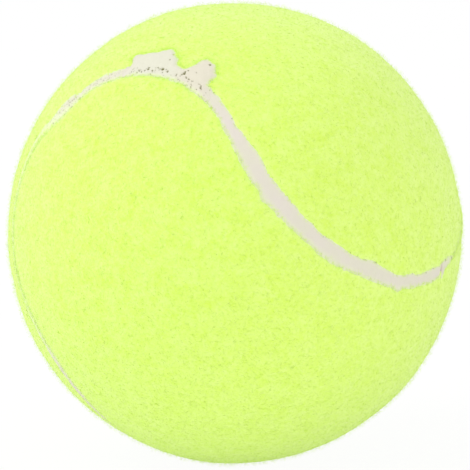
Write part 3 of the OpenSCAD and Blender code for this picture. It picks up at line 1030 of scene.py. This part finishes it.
def rubber_finish(colours):
    """Seam rubber: matt, faintly grained, pinker in the middle, with pores, gaps and creases painted
    dark as shade.
    """
    rubber = Finish("seam_rubber_skin")
    drift = rubber.clamped(rubber.cloud(4 * MM, 2) * 2.4 - 0.7)
    grain = rubber.cloud(0.25 * MM, 3, 0.6)
    edge = rubber.clamped(rubber.mark("edge") + grain * 0.8 - 0.5)
    nap_over = rubber.clamped(rubber.mark("edge") - 1.3) * 0.55
    colour = rubber.mix(drift, tuple(colours.rubber_cream), tuple(colours.rubber_pink))
    spread = rubber.mix(rubber.mark("blush"), PATCH_PALE, PATCH_WARM)
    colour = rubber.mix(rubber.mark("lift") * 0.8, colour, spread)
    colour = rubber.mix(edge * 0.8, colour, RUBBER_EDGE)
    colour = rubber.mix(nap_over, colour, RUBBER_UNDER_NAP)
    colour = rubber.mix(grain * 0.1, colour, RUBBER_GRAIN)
    specks = rubber.clamped(rubber.cloud(0.26 * MM, 1) * 12 - 7.1)
    colour = rubber.mix(specks * rubber.mark("thin") * 0.7, colour, RUBBER_SPECKLE)
    # Painted shade in the creases of the rubber
    colour = rubber.mix(rubber.clamped(rubber.mark("fold") * 0.9), colour, RUBBER_FOLD_SHADE)
    # Painted shade in the pits: pores, pinholes and gaps along the felt's edge are painted dark
    pit = rubber.clamped(rubber.mark("pit") * 1.5 - 0.2)
    colour = rubber.mix(pit, colour, tuple(colours.pit_shade))
    return rubber.surface(
        Base_Color=colour, Roughness=grain * 0.2 + 0.6, Normal=rubber.bump(grain, 0.05 * MM, 0.5),
        Specular_IOR_Level=0.25)


def core_finish():
    """Moulded core rubber: dark grey, matt, with a fine moulded grain."""
    core = Finish("core_rubber_moulded")
    grain = core.cloud(0.3 * MM, 3, 0.6)
    bloom = core.clamped(core.cloud(8 * MM, 3) * 1.8 - 0.5)
    colour = core.mix(bloom, CORE_DARK, CORE_BLOOM)
    return core.surface(Base_Color=colour, Roughness=grain * 0.2 + 0.65,
                        Normal=core.bump(grain, 0.06 * MM, 0.6), Specular_IOR_Level=0.35)


def cement_finish():
    """Cured rubber cement: amber grey, brushed on in thin and thick streaks."""
    cement = Finish("rubber_cement_cured")
    streak = cement.cloud(1.4 * MM, 3, 0.5, 1.5)
    colour = cement.mix(cement.clamped(streak * 2 - 0.5), CEMENT_THICK, CEMENT_THIN)
    return cement.surface(Base_Color=colour, Roughness=streak * 0.3 + 0.3,
                          Normal=cement.bump(streak, 0.05 * MM, 0.5))


def cloth_finish():
    """Rubberised cloth back of the felt: a plain weave under a thin skin."""
    cloth = Finish("backing_weave")
    pitch = math.tau / WEAVE_PITCH
    at = cloth.node("ShaderNodeSeparateXYZ", (), {"Vector": cloth.place()})
    down = Wire(cloth, at.socket.node.outputs[2])
    warp = cloth.sum("SINE", at * pitch)
    weft = cloth.sum("SINE", down * pitch)
    weave = warp * weft * 0.5 + 0.5
    worn = cloth.cloud(4 * MM, 2)
    colour = cloth.mix(weave, WEAVE_LOW, WEAVE_HIGH)
    colour = cloth.mix(worn * 0.4, colour, WEAVE_WORN)
    return cloth.surface(Base_Color=colour, Roughness=weave * 0.1 + 0.8,
                         Normal=cloth.bump(weave, 0.08 * MM, 0.7))


def aimed(thing, towards):
    """Turns a lamp or camera to look at a place."""
    thing.rotation_euler = (Vector(towards) - thing.location).to_track_quat("-Z", "Y").to_euler()


def ball_parts(context):
    sizes = context.scene.ball_sizes
    seam = SeamLine(NAP_R / MM, sizes.seam_width / MM)
    return sizes, seam, SpillShape(seam)


class BALL_OT_core(bpy.types.Operator):
    """Give the core halves, their cement and the cloth backs of the felt their finishes"""

    bl_idname = "ball.core"
    bl_label = "Core and backing"

    def execute(self, context):
        finishes = {
            core_finish(): ("core_half_upper", "core_half_lower"),
            cement_finish(): ("core_joint_cement", "core_cement_coat"),
            cloth_finish(): ("panel_backing_a", "panel_backing_b"),
        }
        for finish, names in finishes.items():
            for name in names:
                node = frame["nodes"][name]
                node.data.materials.clear()
                node.data.materials.append(finish)
        return {"FINISHED"}


class BALL_OT_felt(bpy.types.Operator):
    """Lay the two felt panels, with rounded edges along the seam"""

    bl_idname = "ball.felt"
    bl_label = "Felt panels"

    def execute(self, context):
        sizes, seam, _ = ball_parts(context)
        finish = felt_finish(context.scene.ball_colours)
        for side in (1, -1):
            felt_panel(side, seam, sizes, finish)
        return {"FINISHED"}


class BALL_OT_nap(bpy.types.Operator):
    """Sow the loose fibres of the nap over both panels"""

    bl_idname = "ball.nap"
    bl_label = "Nap"

    def execute(self, context):
        sizes, seam, spill = ball_parts(context)
        finish = nap_finish(context.scene.ball_colours)
        for side in (1, -1):
            nap(side, seam, spill, sizes, context.scene.ball_nap, finish)
        return {"FINISHED"}


class BALL_OT_rubber(bpy.types.Operator):
    """Fill the seam with its rubber, and spread the patch over the felt"""

    bl_idname = "ball.rubber"
    bl_label = "Seam rubber and patch"

    def execute(self, context):
        sizes, seam, spill = ball_parts(context)
        finish = rubber_finish(context.scene.ball_colours)
        seam_strip(seam, sizes, finish)
        spread_patch(seam, spill, sizes, finish)
        return {"FINISHED"}


class BALL_OT_stage(bpy.types.Operator):
    """Set out the floor, the light and the camera at the picture's angle"""

    bl_idname = "ball.stage"
    bl_label = "Stage"

    def execute(self, context):
        look = context.scene.ball_stage
        scene = context.scene
        scene.view_settings.view_transform = "Standard"
        self.add_camera(scene, look)
        self.add_floor(scene, look)
        self.add_light(scene, look)
        return {"FINISHED"}

    def add_camera(self, scene, look):
        camera = bpy.data.objects.new("camera", bpy.data.cameras.new("camera"))
        scene.collection.objects.link(camera)
        camera.data.sensor_width = SENSOR_WIDTH
        camera.data.lens = look.focal_length
        camera.data.clip_start, camera.data.clip_end = CAMERA_CLIP
        aim = Vector((0, 0, -look.camera_drop))
        height = look.camera_height
        camera.location = aim + look.camera_distance * Vector(
            (0, -math.cos(height), math.sin(height)))
        aimed(camera, aim)
        scene.camera = camera

    def add_floor(self, scene, look):
        mesh = bpy.data.meshes.new("floor")
        mesh.from_pydata([(x * FLOOR_HALF, y * FLOOR_HALF, -NAP_R)
                          for x, y in ((-1, -1), (1, -1), (1, 1), (-1, 1))], [], [(0, 1, 2, 3)])
        white = Finish("white_sweep")
        seen = white.node("ShaderNodeLightPath", (), (), "Is Camera Ray")
        paper = white.node("ShaderNodeBsdfDiffuse", (), {"Color": PAPER})
        glow = white.node("ShaderNodeEmission", (), {"Color": WHITE, "Strength": 1.0})
        away = white.node("ShaderNodeVectorMath", {"operation": "DISTANCE"}, {
            0: white.place(), 1: (0, 0, -NAP_R)}, "Value")
        under = white.clamped(1 - away * (1 / look.table_glow_reach)) * look.table_glow
        table = white.node("ShaderNodeMixShader", (), {0: under, 1: paper, 2: glow})
        white.node_to_output(white.node("ShaderNodeMixShader", (), {
            0: seen * FLOOR_WHITE, 1: table, 2: glow}))
        mesh.materials.append(white.owner)
        floor = bpy.data.objects.new("floor", mesh)
        scene.collection.objects.link(floor)

    def add_light(self, scene, look):
        scene.world = bpy.data.worlds.new("studio")
        sky = Finish("studio", scene.world)
        path = sky.node("ShaderNodeLightPath", (), (), "Is Camera Ray")
        shiny = sky.node("ShaderNodeLightPath", (), (), "Is Glossy Ray")
        seen = sky.sum("MAXIMUM", path, shiny)
        sky.node_to_output(sky.node("ShaderNodeBackground", (), {
            "Color": WHITE, "Strength": seen * (1 - look.sky) + look.sky}))
        for name, location, power in (("softbox", KEY_PLACE, look.key),
                                      ("fill", FILL_PLACE, look.fill)):
            lamp = bpy.data.lights.new(name, "AREA")
            lamp.shape, lamp.size, lamp.energy = "DISK", LAMP_SIZE, power
            softbox = bpy.data.objects.new(name, lamp)
            softbox.location = location
            aimed(softbox, (0, 0, 0))
            scene.collection.objects.link(softbox)


class BALL_PT_panel(bpy.types.Panel):
    """Buttons for the ball's pieces and its stage"""

    bl_label = "Tennis Ball"
    bl_idname = "BALL_PT_panel"
    bl_space_type = "VIEW_3D"
    bl_region_type = "UI"
    bl_category = "Tennis Ball"

    def draw(self, context):
        for operator in OPERATORS:
            self.layout.operator(operator.bl_idname)
        for group in GROUPS:
            box = self.layout.box()
            settings = getattr(context.scene, group)
            for name in settings.__annotations__:
                box.prop(settings, name)


OPERATORS = (BALL_OT_core, BALL_OT_felt, BALL_OT_nap, BALL_OT_rubber, BALL_OT_stage)
GROUPS = {"ball_sizes": BallSizes, "ball_nap": NapLook, "ball_colours": FinishColours,
          "ball_stage": StageLook}


def register():
    for kind in (*GROUPS.values(), *OPERATORS, BALL_PT_panel):
        bpy.utils.register_class(kind)
    for name, kind in GROUPS.items():
        setattr(bpy.types.Scene, name, PointerProperty(type=kind))


def unregister():
    for name in GROUPS:
        delattr(bpy.types.Scene, name)
    for kind in reversed((*GROUPS.values(), *OPERATORS, BALL_PT_panel)):
        bpy.utils.unregister_class(kind)


def main():
    register()
    bpy.ops.ball.core()
    bpy.ops.ball.felt()
    bpy.ops.ball.nap()
    bpy.ops.ball.rubber()
    bpy.ops.ball.stage()


if __name__ == "__main__":
    main()
